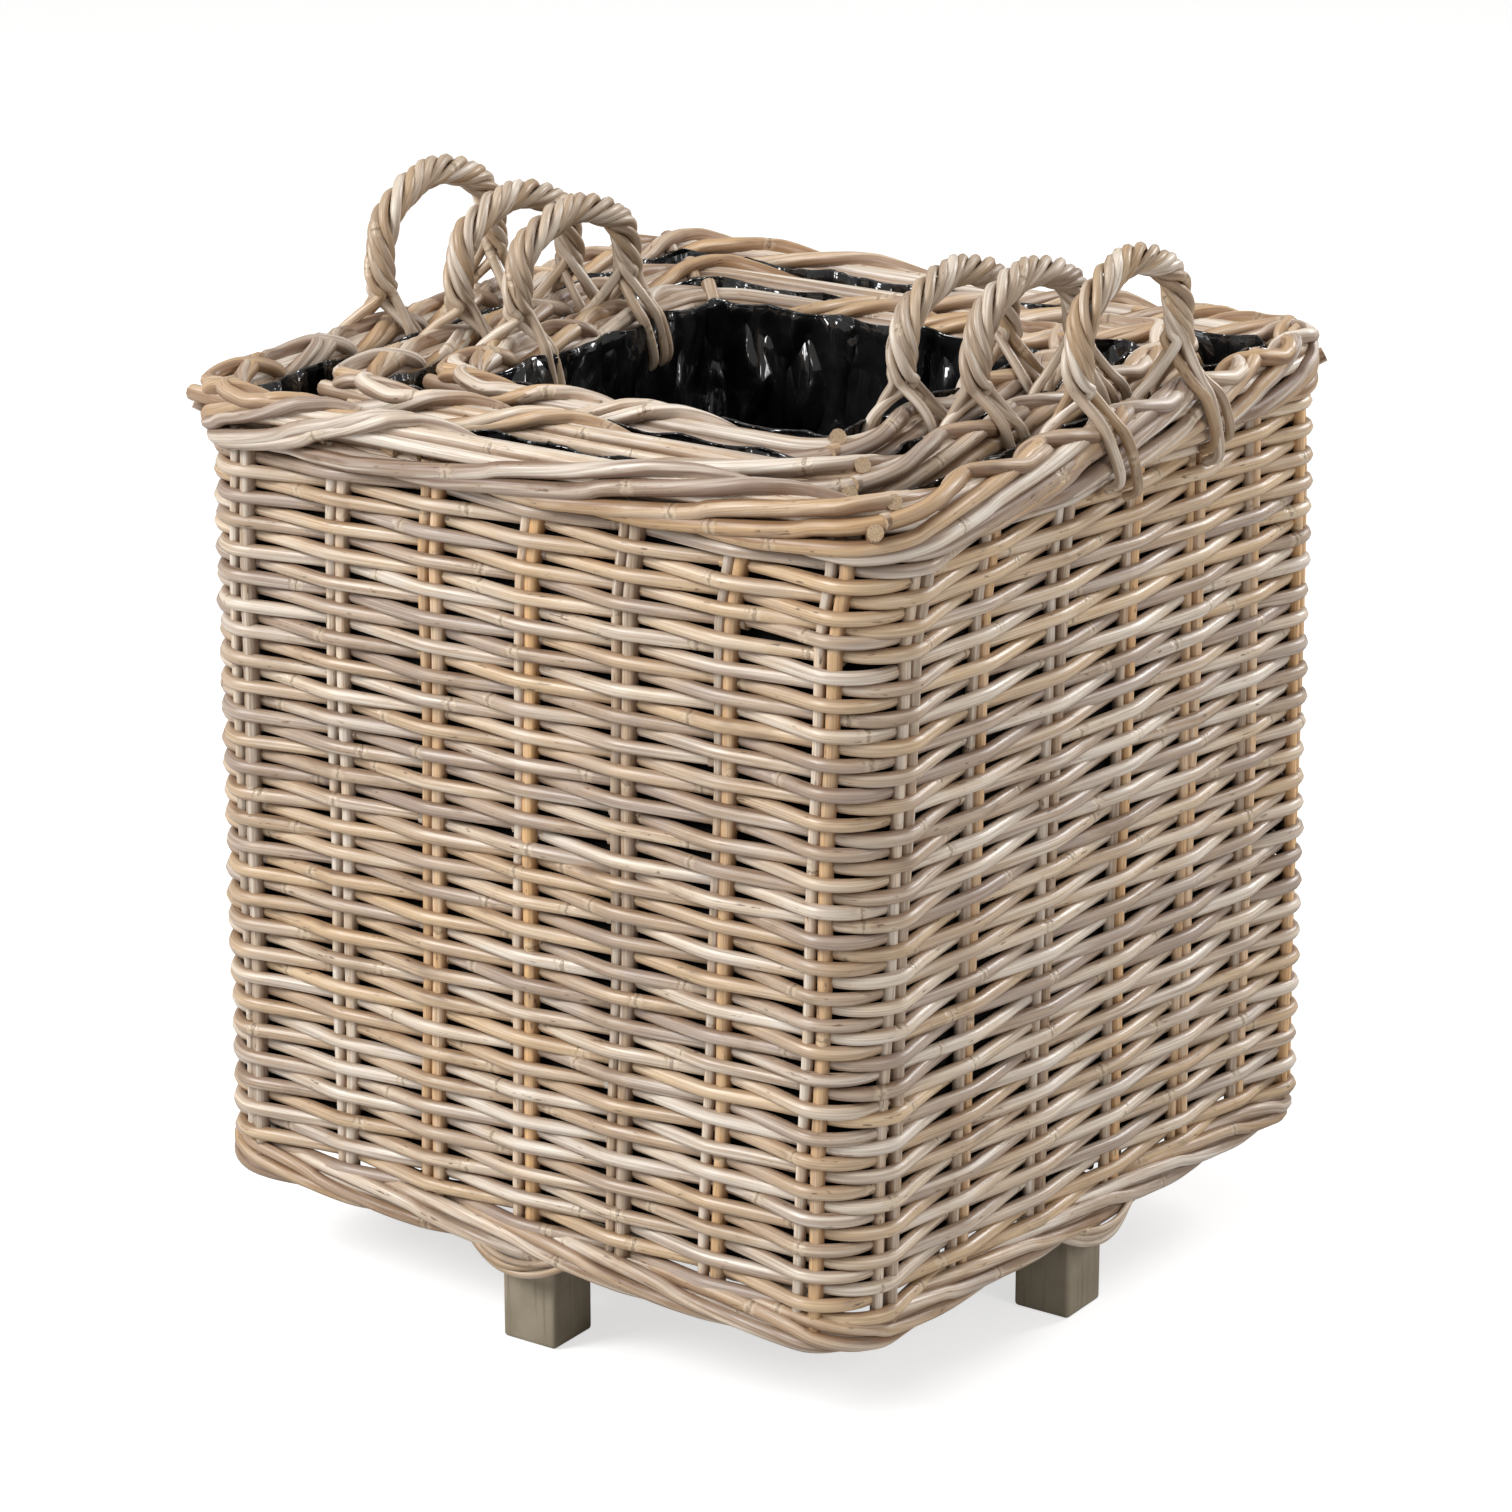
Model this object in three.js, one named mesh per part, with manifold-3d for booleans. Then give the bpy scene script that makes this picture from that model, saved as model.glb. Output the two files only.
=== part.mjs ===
// A nested set of three square rattan log baskets: outer, middle and inner.
//
// Millimetres, +Z up. The origin is on the floor, under the middle of the outer basket. The faces
// are square to the axes, -Y is the front, and the rope handles stand on the -X and +X sides.
// Each basket stands on four wooden feet, one at the middle of each side, and the two smaller
// baskets stand on the floor of the next one out, so that all three rims lie level.

import * as THREE from 'three';
import { mergeVertices } from 'three/addons/utils/BufferGeometryUtils.js';
import { RoundedBoxGeometry } from 'three/addons/geometries/RoundedBoxGeometry.js';
import Module from 'manifold-3d';

const wasm = await Module();
wasm.setup();

// ---- driving dimensions ----------------------------------------------------------------------

const GAP = 0.3;                 // between pieces that touch
const RIM_TOP = 661;             // all three rims lie at this height

const WALL_THICKNESS = 19;       // paired stakes with the weavers in front and behind
const CORNER_RADIUS = 51;        // at the middle of the wall
const RIM_WIDTH = 40;            // rolled top border, seen from above
const RIM_HEIGHT = 49;
const RIM_OVERHANG = 9;          // how far the top border stands out past the wall
const BORDER_HEIGHT = 42;        // bottom border
const BORDER_STAND_OUT = 1;      // how far the bottom border stands out past the wall

const FOOT_HEIGHT = 69.7;
const FOOT_SIDE = 45;
const FOOT_EDGE = 3;             // rounding of the feet's edges
const FOOT_INSET = 27;           // from the middle of the wall to the middle of the foot

const BAR_HEIGHT = 20;           // crossed bars under the base, which carry the feet
const BAR_WIDTH = 45;
const BASE_THICKNESS = 14;       // woven base
const LINER_THICKNESS = 2;

const ROPE_RADIUS = 10.5;        // twisted cane handles
const ROPE_SIDES = 10;
const ROPE_STEPS = 26;
const HANDLE_FOOT_HALF_SPAN = 62;
const HANDLE_HALF_SPAN = 68;     // at the widest

const CORNER_STEPS = 6;          // facets in a rounded corner

// A basket's feet and handles are set by hand, so each is a little off the middle of its side.
const BASKETS = [
  {
    name: 'outer', rimHalf: 300, handleRise: 109,
    footShift: { front: -16, right: -9, back: 6, left: 8 },
    handleShift: { left: -16, right: 18 },
  },
  {
    name: 'middle', rimHalf: 236, handleRise: 97,
    footShift: { front: 5, right: -6, back: -7, left: 4 },
    handleShift: { left: -8, right: -8 },
  },
  {
    name: 'inner', rimHalf: 184, handleRise: 93,
    footShift: { front: -4, right: 5, back: 6, left: -5 },
    handleShift: { left: -8, right: -18 },
  },
];

// ---- materials -------------------------------------------------------------------------------

const finish = (color, roughness) => new THREE.MeshStandardMaterial({ color, roughness, metalness: 0 });

const MATERIALS = {
  weave: () => finish(0xc4b196, 0.55),
  border: () => finish(0xbba88c, 0.55),
  base: () => finish(0xa8916f, 0.65),
  liner: () => finish(0x0b0c0e, 0.22),
  bar: () => finish(0x8a7456, 0.75),
  foot: () => finish(0x9c8f78, 0.7),
  handle: () => finish(0xb39e80, 0.5),
};

// ---- shapes ----------------------------------------------------------------------------------

// Outline of a square with rounded corners, anticlockwise, as points with their outward normals.
function roundedSquare(half, radius) {
  const outline = [];
  for (let corner = 0; corner < 4; corner += 1) {
    const centreAngle = Math.PI / 4 + corner * Math.PI / 2;
    const reach = (half - radius) * Math.SQRT2;
    const cx = reach * Math.cos(centreAngle);
    const cy = reach * Math.sin(centreAngle);
    for (let i = 0; i <= CORNER_STEPS; i += 1) {
      const angle = corner * Math.PI / 2 + (Math.PI / 2) * (i / CORNER_STEPS);
      const nx = Math.cos(angle);
      const ny = Math.sin(angle);
      outline.push({ x: cx + radius * nx, y: cy + radius * ny, nx, ny });
    }
  }
  return outline;
}

// A ring that follows a rounded square. The section is a closed list of [out, z] points,
// anticlockwise when out runs to the right, with out measured from the square's outline.
function ringGeometry(half, radius, section) {
  const outline = roundedSquare(half, radius);
  const positions = [];
  for (const point of outline) {
    for (const [out, z] of section) {
      positions.push(point.x + out * point.nx, point.y + out * point.ny, z);
    }
  }
  const index = [];
  const n = section.length;
  outline.forEach((_, i) => {
    const next = (i + 1) % outline.length;
    for (let j = 0; j < n; j += 1) {
      const k = (j + 1) % n;
      const a = i * n + j;
      const b = next * n + j;
      const c = next * n + k;
      const d = i * n + k;
      index.push(a, b, c, a, c, d);
    }
  });
  const geometry = new THREE.BufferGeometry();
  geometry.setAttribute('position', new THREE.Float32BufferAttribute(positions, 3));
  geometry.setIndex(index);
  geometry.computeVertexNormals();
  return geometry;
}

// A rectangular section for ringGeometry.
function boxSection(inner, outer, low, high) {
  return [[inner, low], [outer, low], [outer, high], [inner, high]];
}

// The rolled border's section: a rectangle with its corners rounded off in three steps.
function rolledSection(inner, outer, low, high, round) {
  const corners = [
    [outer - round, low + round, -Math.PI / 2],
    [outer - round, high - round, 0],
    [inner + round, high - round, Math.PI / 2],
    [inner + round, low + round, Math.PI],
  ];
  const section = [];
  for (const [cx, cz, start] of corners) {
    for (let i = 0; i <= 3; i += 1) {
      const angle = start + (Math.PI / 2) * (i / 3);
      section.push([cx + round * Math.cos(angle), cz + round * Math.sin(angle)]);
    }
  }
  return section;
}

// A flat slab with a rounded-square outline, standing on z = low.
function slabGeometry(half, radius, low, high) {
  const shape = new THREE.Shape(roundedSquare(half, radius).map(({ x, y }) => new THREE.Vector2(x, y)));
  const geometry = new THREE.ExtrudeGeometry(shape, { depth: high - low, bevelEnabled: false });
  geometry.translate(0, 0, low);
  return geometry;
}

function toManifold(geometry) {
  const bare = geometry.clone();
  bare.deleteAttribute('normal');
  bare.deleteAttribute('uv');
  const merged = mergeVertices(bare, 1e-4);
  return new wasm.Manifold(new wasm.Mesh({
    numProp: 3,
    vertProperties: merged.attributes.position.array,
    triVerts: Uint32Array.from(merged.index.array),
  }));
}

function fromManifold(solid) {
  const mesh = solid.getMesh();
  const geometry = new THREE.BufferGeometry();
  geometry.setAttribute('position', new THREE.BufferAttribute(mesh.vertProperties, 3));
  geometry.setIndex(new THREE.BufferAttribute(mesh.triVerts, 1));
  geometry.computeVertexNormals();
  return geometry;
}

// The plastic liner: an open-topped tray whose floor lies on the woven base.
function linerGeometry(half, radius, low, high) {
  const block = toManifold(slabGeometry(half, radius, low, high));
  const cavity = toManifold(slabGeometry(
    half - LINER_THICKNESS, radius - LINER_THICKNESS, low + LINER_THICKNESS, high + 1));
  return fromManifold(block.subtract(cavity));
}

// One of the two crossed bars, along X, half-lapped at its middle. The notch is in its top.
function barGeometry(length) {
  const notch = BAR_WIDTH / 2 + GAP;
  const lap = BAR_HEIGHT / 2 - GAP / 2;
  const side = new THREE.Shape();
  side.moveTo(-length / 2, 0);
  side.lineTo(length / 2, 0);
  side.lineTo(length / 2, BAR_HEIGHT);
  side.lineTo(notch, BAR_HEIGHT);
  side.lineTo(notch, lap);
  side.lineTo(-notch, lap);
  side.lineTo(-notch, BAR_HEIGHT);
  side.lineTo(-length / 2, BAR_HEIGHT);
  const geometry = new THREE.ExtrudeGeometry(side, { depth: BAR_WIDTH, bevelEnabled: false });
  geometry.translate(0, 0, -BAR_WIDTH / 2);
  geometry.rotateX(Math.PI / 2);
  return geometry;
}

// A handle's loop in the YZ plane, standing on z = 0. Its two ends leave the border upright.
function handleGeometry(rise) {
  const top = rise - ROPE_RADIUS;
  const path = new THREE.CatmullRomCurve3([
    new THREE.Vector3(0, -HANDLE_FOOT_HALF_SPAN, 0),
    new THREE.Vector3(0, -HANDLE_FOOT_HALF_SPAN, top * 0.1),
    new THREE.Vector3(0, -HANDLE_HALF_SPAN, top * 0.42),
    new THREE.Vector3(0, -HANDLE_HALF_SPAN * 0.76, top * 0.82),
    new THREE.Vector3(0, 0, top),
    new THREE.Vector3(0, HANDLE_HALF_SPAN * 0.76, top * 0.82),
    new THREE.Vector3(0, HANDLE_HALF_SPAN, top * 0.42),
    new THREE.Vector3(0, HANDLE_FOOT_HALF_SPAN, top * 0.1),
    new THREE.Vector3(0, HANDLE_FOOT_HALF_SPAN, 0),
  ]);
  const section = new THREE.Shape();
  for (let i = 0; i < ROPE_SIDES; i += 1) {
    const angle = (2 * Math.PI * i) / ROPE_SIDES;
    const x = ROPE_RADIUS * Math.cos(angle);
    const y = ROPE_RADIUS * Math.sin(angle);
    if (i === 0) {
      section.moveTo(x, y);
    } else {
      section.lineTo(x, y);
    }
  }
  return new THREE.ExtrudeGeometry(section, { steps: ROPE_STEPS, extrudePath: path, bevelEnabled: false });
}

// ---- one basket ------------------------------------------------------------------------------

// The heights of a basket's pieces, from the bottom of its feet.
const BASE_LOW = FOOT_HEIGHT + GAP;
const PANEL_LOW = BASE_LOW + BAR_HEIGHT + GAP;
const LINER_LOW = PANEL_LOW + BASE_THICKNESS + GAP;
const FLOOR_TOP = LINER_LOW + LINER_THICKNESS;
const NEST_STEP = FLOOR_TOP + GAP;      // from one basket's feet to the feet of the next one in

function buildBasket({ name, rimHalf, handleRise, footShift, handleShift }, standsAt) {
  const basket = new THREE.Group();
  basket.position.z = standsAt;

  const height = RIM_TOP - standsAt;
  const wallHalf = rimHalf - RIM_OVERHANG - WALL_THICKNESS / 2;
  const innerHalf = wallHalf - WALL_THICKNESS / 2;
  const innerRadius = CORNER_RADIUS - WALL_THICKNESS / 2;
  const borderTop = BASE_LOW + BORDER_HEIGHT;
  const rimLow = height - RIM_HEIGHT;

  const add = (part, geometry, material) => {
    const mesh = new THREE.Mesh(geometry, material);
    mesh.name = `${name}_${part}`;
    basket.add(mesh);
    return mesh;
  };

  const halfWall = WALL_THICKNESS / 2;
  const wall = boxSection(-halfWall, halfWall, borderTop + GAP, rimLow - GAP);
  add('woven_wall', ringGeometry(wallHalf, CORNER_RADIUS, wall), MATERIALS.weave());

  const rimOut = halfWall + RIM_OVERHANG;
  const rim = rolledSection(rimOut - RIM_WIDTH, rimOut, rimLow, height, 14);
  add('top_border', ringGeometry(wallHalf, CORNER_RADIUS, rim), MATERIALS.border());

  const border = boxSection(-halfWall, halfWall + BORDER_STAND_OUT, BASE_LOW, borderTop);
  add('bottom_border', ringGeometry(wallHalf, CORNER_RADIUS, border), MATERIALS.border());

  const panel = slabGeometry(innerHalf - GAP, innerRadius - GAP, PANEL_LOW, PANEL_LOW + BASE_THICKNESS);
  add('base_panel', panel, MATERIALS.base());

  const liner = linerGeometry(innerHalf - GAP, innerRadius - GAP, LINER_LOW, rimLow - GAP);
  add('liner', liner, MATERIALS.liner());

  const barLength = 2 * (innerHalf - GAP);
  const sideBar = add('base_bar_side_to_side', barGeometry(barLength), MATERIALS.bar());
  sideBar.position.z = BASE_LOW;

  const crossBar = add('base_bar_front_to_back', barGeometry(barLength), MATERIALS.bar());
  crossBar.rotation.set(Math.PI, 0, Math.PI / 2);
  crossBar.position.z = BASE_LOW + BAR_HEIGHT;

  const footOut = wallHalf - FOOT_INSET;
  const footPlaces = {
    front: [footShift.front, -footOut],
    right: [footOut, footShift.right],
    back: [footShift.back, footOut],
    left: [-footOut, footShift.left],
  };
  for (const [side, [x, y]] of Object.entries(footPlaces)) {
    const foot = new RoundedBoxGeometry(FOOT_SIDE, FOOT_SIDE, FOOT_HEIGHT, 2, FOOT_EDGE);
    add(`foot_${side}`, foot, MATERIALS.foot()).position.set(x, y, FOOT_HEIGHT / 2);
  }

  const handleOut = rimHalf - RIM_WIDTH / 2;
  for (const [side, direction] of [['left', -1], ['right', 1]]) {
    const handle = add(`handle_${side}`, handleGeometry(handleRise - GAP), MATERIALS.handle());
    handle.position.set(direction * handleOut, handleShift[side], height + GAP);
  }

  return basket;
}

// ---- the set ---------------------------------------------------------------------------------

const set = new THREE.Group();
BASKETS.forEach((basket, level) => set.add(buildBasket(basket, level * NEST_STEP)));

export default set;
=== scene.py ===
# A nested set of three square rattan log baskets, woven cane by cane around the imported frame.
#
# Metres, +Z up, -Y is the front. Every basket is woven in the same way from its own solids' boxes:
# paired stakes, weavers that pass in front of and behind them, a rolled border at the top and the
# bottom, rope handles, a black film liner, and canes that bind the feet to the bottom border.

import math
from types import SimpleNamespace

import bpy
import numpy as np
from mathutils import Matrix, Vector, noise


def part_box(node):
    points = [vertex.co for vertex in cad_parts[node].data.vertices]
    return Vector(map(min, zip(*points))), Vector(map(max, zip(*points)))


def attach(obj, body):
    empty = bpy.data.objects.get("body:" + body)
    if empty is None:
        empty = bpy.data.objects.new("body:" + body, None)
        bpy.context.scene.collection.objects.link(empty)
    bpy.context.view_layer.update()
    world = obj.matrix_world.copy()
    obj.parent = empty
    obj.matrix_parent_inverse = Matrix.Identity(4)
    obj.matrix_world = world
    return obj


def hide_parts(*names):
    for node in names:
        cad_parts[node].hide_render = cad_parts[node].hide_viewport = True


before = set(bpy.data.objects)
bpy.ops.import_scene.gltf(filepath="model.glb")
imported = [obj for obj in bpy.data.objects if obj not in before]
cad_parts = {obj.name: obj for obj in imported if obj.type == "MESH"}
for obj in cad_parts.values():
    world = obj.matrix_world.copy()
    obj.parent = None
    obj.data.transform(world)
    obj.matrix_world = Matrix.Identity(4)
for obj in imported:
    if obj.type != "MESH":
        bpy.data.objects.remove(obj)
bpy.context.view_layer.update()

# ---- driving dimensions ------------------------------------------------------------------------

WALL_THICKNESS = 0.024
CORNER_RADIUS = 0.037             # at the middle of the wall
CORNER_BOW = 0.0055               # weavers swell out round each corner
STAKE_TWIST = 0.043               # radians that the foot is turned clockwise against the top
NECK_TWIST = 0.018                # radians that the wall's top is turned against the rim
WEAVE_START = 0.0185              # height of the first row over the border's underside
RIM_WIDTH = 0.035
STAKE_SPREAD = 1.03               # stakes stand a little wider than an even split of the wall
PAIR_APART = 0.0104               # between the middles of the two stakes of a pair
STAKE_RADII = (0.0043, 0.0056)
ROW_PITCH = 0.0100
WEAVER_RADII = (0.0050, 0.0056)
WEAVER_SAMPLES = 12               # points of a weaver between two pairs of stakes
WEAVER_INSET = 0.0062             # from the wall's face in to a weaver's middle
WEAVER_BEND = 0.97                # 1 would turn each weaver sharply at the stakes
WEAVE_RISE = 0.005                # how far the last rows run up inside the top border
CORNER_REACH = 0.045              # how far from a corner the swelling fades
BORDER_CANE = 0.0062              # radius of the canes of the top border
FOOT_BORDER_CANE = 0.0054         # and of the bottom border
BORDER_SQUARENESS = 0.72          # 1 would make the borders' sections plain ellipses
ROPE_STRANDS = 6
ROPE_STRAND_RADIUS = 0.0037
ROPE_HELIX_RADIUS = 0.0074
ROPE_PITCH = 0.085
TAIL_OUTSIDE = 0.0035             # where the ropes' tails run, out from the rim's outer face
TAIL_INSIDE = 0.0398              # and in from it, inside the basket
TAIL_SPREAD = 0.0078              # between the tails that run side by side
FILM_INSET = 0.0012               # from the CAD liner's outer face in to the film
FILM_HEM_DROP = 0.010             # from the rim's top down to the film's hem
FILM_DEEPEST_FOLD = 0.0110

BASKETS = [
    SimpleNamespace(name="outer", stakes=7, seed=11, crowded=0.029),
    SimpleNamespace(name="middle", stakes=5, seed=23, crowded=0.008),
    SimpleNamespace(name="inner", stakes=4, seed=37, crowded=0.004),
]

for basket in BASKETS:
    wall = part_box(f"{basket.name}_woven_wall")
    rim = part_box(f"{basket.name}_top_border")
    foot_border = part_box(f"{basket.name}_bottom_border")
    basket.body = f"{basket.name}_basket"
    basket.half = wall[1].x - WALL_THICKNESS / 2
    basket.wall_high = wall[1].z
    basket.rim_half = rim[1].x
    basket.rim_low, basket.rim_high = rim[0].z, rim[1].z
    basket.border_low = foot_border[0].z
    basket.border_half = foot_border[1].x
    basket.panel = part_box(f"{basket.name}_base_panel")
    basket.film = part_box(f"{basket.name}_liner")

# ---- the ring that every row follows -----------------------------------------------------------


def ring_length(half, radius=CORNER_RADIUS):
    """The length round a rounded square."""
    return 8 * (half - radius) + 2 * math.pi * radius


def ring(half, s, radius=CORNER_RADIUS):
    """Points and outward normals at lengths s anticlockwise round a rounded square, from the
    middle of its front."""
    s = np.asarray(s, float)
    straight = half - radius
    side = ring_length(half, radius) / 4
    turn = np.floor((s + straight) / side)
    t = s + straight - turn * side
    bend = np.clip((t - 2 * straight) / radius, 0, None)
    along = np.where(t < 2 * straight, t - straight, straight + radius * np.sin(bend))
    out = np.where(t < 2 * straight, half, straight + radius * np.cos(bend))
    c, q = np.cos(turn * math.pi / 2), np.sin(turn * math.pi / 2)
    points = np.stack([along * c + out * q, along * q - out * c], -1)
    sine, cosine = np.sin(bend), np.cos(bend)
    normals = np.stack([sine * c + cosine * q, sine * q - cosine * c], -1)
    return points, normals


def stake_places(basket):
    """The length round the ring at which each pair of stakes stands. They stand evenly, but for
    the right side, where they crowd towards the back."""
    pitch = 2 * basket.half / basket.stakes * STAKE_SPREAD
    straight = basket.half - CORNER_RADIUS
    side = ring_length(basket.half) / 4
    places = []
    for turn in range(4):
        for i in range(basket.stakes):
            a = (i - (basket.stakes - 1) / 2) * pitch
            t = a / basket.half
            a += basket.crowded * (1 - t**2) * (1 + t) if turn == 1 else 0
            over = max(abs(a) - straight, 0) / CORNER_RADIUS
            arc = CORNER_RADIUS * math.asin(over)
            places.append(turn * side + math.copysign(min(abs(a), straight) + arc, a))
    return np.array(places)


def place_at(basket, u):
    """The length round the ring at u pairs of stakes, where u runs on past one turn."""
    places = stake_places(basket)
    n = len(places)
    turns = np.floor(np.asarray(u) / n)
    wrapped = np.append(places, places[0] + ring_length(basket.half))
    return np.interp(u - turns * n, np.arange(n + 1), wrapped) + turns * ring_length(basket.half)


def twisted(basket, points):
    """Points turned about the basket's axis as the weaving has pulled the stakes: not at all at
    the rim, and the most at the foot."""
    below = basket.rim_low - points[..., 2]
    angle = NECK_TWIST * np.clip(below / 0.05, 0, 1)
    angle = angle + STAKE_TWIST * np.clip(below / (basket.rim_low - basket.border_low), 0, 1)
    c, q = np.cos(angle), -np.sin(angle)
    x, y = points[..., 0], points[..., 1]
    return np.stack([x * c - y * q, x * q + y * c, points[..., 2]], -1)


def on_ring(basket, s, out, z):
    """Points at lengths s round the wall's middle, at a distance out from it and a height z."""
    points, normals = ring(basket.half, s)
    flat = points + normals * np.asarray(out)[..., None]
    return twisted(basket, np.concatenate([flat, np.broadcast_to(z, s.shape)[..., None]], -1))


def corner_bow(basket, s):
    """How far out of the ring the wall swells near a corner."""
    side_length = ring_length(basket.half) / 4
    from_corner = (s / side_length % 1 - 0.5) * side_length
    return CORNER_BOW * np.exp(-((from_corner / CORNER_REACH) ** 2))


# ---- canes -------------------------------------------------------------------------------------


def cane(points, radius, up, tone, rng, sides=8):
    """One cane: its middle line, its radius, a direction that it never runs along, and how golden
    it is, from 0 for grey to 1 for honey."""
    return SimpleNamespace(
        points=np.asarray(points, float),
        radius=np.broadcast_to(np.asarray(radius, float), len(points)),
        up=np.broadcast_to(np.asarray(up, float), (len(points), 3)),
        look=(tone, rng.uniform(0, 1), rng.uniform(0, 1)),
        sides=sides,
    )


def unit(v):
    return v / np.linalg.norm(v, axis=-1, keepdims=True)


def grid_quads(i, j, k, columns):
    """The faces between rows i and i + 1 and between columns j and k of a grid of points."""
    near, far = i * columns, (i + 1) * columns
    return np.stack([near + j, near + k, far + k, far + j], -1).reshape(-1, 4)


def add_canes(name, canes, materials, basket, stands_for=()):
    """One piece made of many canes, with the coordinates along and round each cane that its
    materials read. The second material is for cut ends."""
    points, quads, ends, fibre, look = [], [], [], [], []
    start = 0
    for rod in canes:
        n, m = len(rod.points), rod.sides
        along = unit(np.gradient(rod.points, axis=0))
        side = unit(np.cross(along, rod.up))
        top = np.cross(side, along)
        angle = np.arange(m) * 2 * math.pi / m
        c, q = np.cos(angle)[None, :, None], np.sin(angle)[None, :, None]
        r = rod.radius[:, None, None]
        skin = rod.points[:, None] + r * (c * side[:, None] + q * top[:, None])
        points.append(skin.reshape(-1, 3))
        step = np.linalg.norm(np.diff(rod.points, axis=0), axis=1)
        length = np.concatenate([[0], np.cumsum(step)])
        across = np.broadcast_to(rod.radius[:, None], (n, m))
        lengths = np.repeat(length[:, None], m, 1)
        coordinates = np.stack([lengths, across * np.cos(angle), across * np.sin(angle)], -1)
        fibre.append(coordinates.reshape(-1, 3))
        look.append(np.broadcast_to(rod.look, (n * m, 3)))
        i, j = np.meshgrid(np.arange(n - 1), np.arange(m), indexing="ij")
        k = (j + 1) % m
        quads.append(start + grid_quads(i, j, k, m))
        ends.append((start + np.arange(m))[::-1])
        ends.append(start + (n - 1) * m + np.arange(m))
        start += n * m
    quads = np.concatenate(quads)
    corners = np.concatenate([quads.ravel(), *ends])
    totals = np.concatenate([np.full(len(quads), 4), [len(e) for e in ends]])
    mesh = bpy.data.meshes.new(name)
    all_points = np.concatenate(points)
    mesh.vertices.add(len(all_points))
    mesh.vertices.foreach_set("co", all_points.ravel())
    mesh.loops.add(len(corners))
    mesh.loops.foreach_set("vertex_index", corners.astype(np.int32))
    mesh.polygons.add(len(totals))
    mesh.polygons.foreach_set("loop_start", (np.cumsum(totals) - totals).astype(np.int32))
    cut = np.arange(len(totals)) >= len(quads)
    mesh.update(calc_edges=True)
    mesh.polygons.foreach_set("use_smooth", ~cut)
    mesh.polygons.foreach_set("material_index", cut.astype(np.int32))
    for label, values in (("fibre", fibre), ("look", look)):
        attribute = mesh.attributes.new(label, "FLOAT_VECTOR", "POINT")
        attribute.data.foreach_set("vector", np.concatenate(values).ravel())
    mesh.validate()
    for material in materials:
        mesh.materials.append(material)
    return place_piece(name, mesh, basket, stands_for)


def place_piece(name, mesh, basket, stands_for=()):
    """A new object that rides on the basket's body and stands for its solids."""
    piece = bpy.data.objects.new(name, mesh)
    bpy.context.scene.collection.objects.link(piece)
    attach(piece, basket.body)
    if stands_for:
        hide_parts(*stands_for)
    return piece


# ---- materials ---------------------------------------------------------------------------------


class Nodes:
    """A material's node tree, with short calls for the few nodes that these materials use."""

    def __init__(self, name):
        self.material = bpy.data.materials.new(name)
        self.material.use_nodes = True
        self.tree = self.material.node_tree
        self.shader = self.tree.nodes["Principled BSDF"]

    def link(self, value, socket):
        if isinstance(value, bpy.types.NodeSocket):
            self.tree.links.new(value, socket)
        else:
            socket.default_value = value

    def attribute(self, name):
        node = self.tree.nodes.new("ShaderNodeAttribute")
        node.attribute_name = name
        return node.outputs["Vector"]

    def position(self):
        return self.tree.nodes.new("ShaderNodeTexCoord").outputs["Object"]

    def split(self, vector):
        node = self.tree.nodes.new("ShaderNodeSeparateXYZ")
        self.link(vector, node.inputs[0])
        return node.outputs[0], node.outputs[1], node.outputs[2]

    def math(self, operation, a, b=0.0, clamp=False):
        node = self.tree.nodes.new("ShaderNodeMath")
        node.operation = operation
        node.use_clamp = clamp
        self.link(a, node.inputs[0])
        self.link(b, node.inputs[1])
        return node.outputs[0]

    def vector(self, operation, a, b):
        node = self.tree.nodes.new("ShaderNodeVectorMath")
        node.operation = operation
        self.link(a, node.inputs[0])
        self.link(b, node.inputs[1])
        return node.outputs[0]

    def noise(self, vector, scale, detail=2.0, roughness=0.5):
        node = self.tree.nodes.new("ShaderNodeTexNoise")
        self.link(vector, node.inputs["Vector"])
        node.inputs["Scale"].default_value = scale
        node.inputs["Detail"].default_value = detail
        node.inputs["Roughness"].default_value = roughness
        return node.outputs["Fac"]

    def ramp(self, value, low, high, to_low=0.0, to_high=1.0):
        node = self.tree.nodes.new("ShaderNodeMapRange")
        node.interpolation_type = "SMOOTHSTEP"
        self.link(value, node.inputs["Value"])
        limits = {"From Min": low, "From Max": high, "To Min": to_low, "To Max": to_high}
        for label, number in limits.items():
            node.inputs[label].default_value = number
        return node.outputs["Result"]

    def mix(self, factor, a, b, blend="MIX"):
        node = self.tree.nodes.new("ShaderNodeMix")
        node.data_type = "RGBA"
        node.blend_type = blend
        self.link(factor, node.inputs["Factor"])
        self.link(a, node.inputs["A"])
        self.link(b, node.inputs["B"])
        return node.outputs["Result"]

    def bump(self, height, strength, distance, normal=None):
        node = self.tree.nodes.new("ShaderNodeBump")
        node.inputs["Strength"].default_value = strength
        node.inputs["Distance"].default_value = distance
        self.link(height, node.inputs["Height"])
        if normal is not None:
            self.link(normal, node.inputs["Normal"])
        return node.outputs["Normal"]

    def finish(self, colour, roughness, normal=None):
        self.link(colour, self.shader.inputs["Base Color"])
        self.link(roughness, self.shader.inputs["Roughness"])
        if normal is not None:
            self.link(normal, self.shader.inputs["Normal"])
        return self.material


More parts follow.
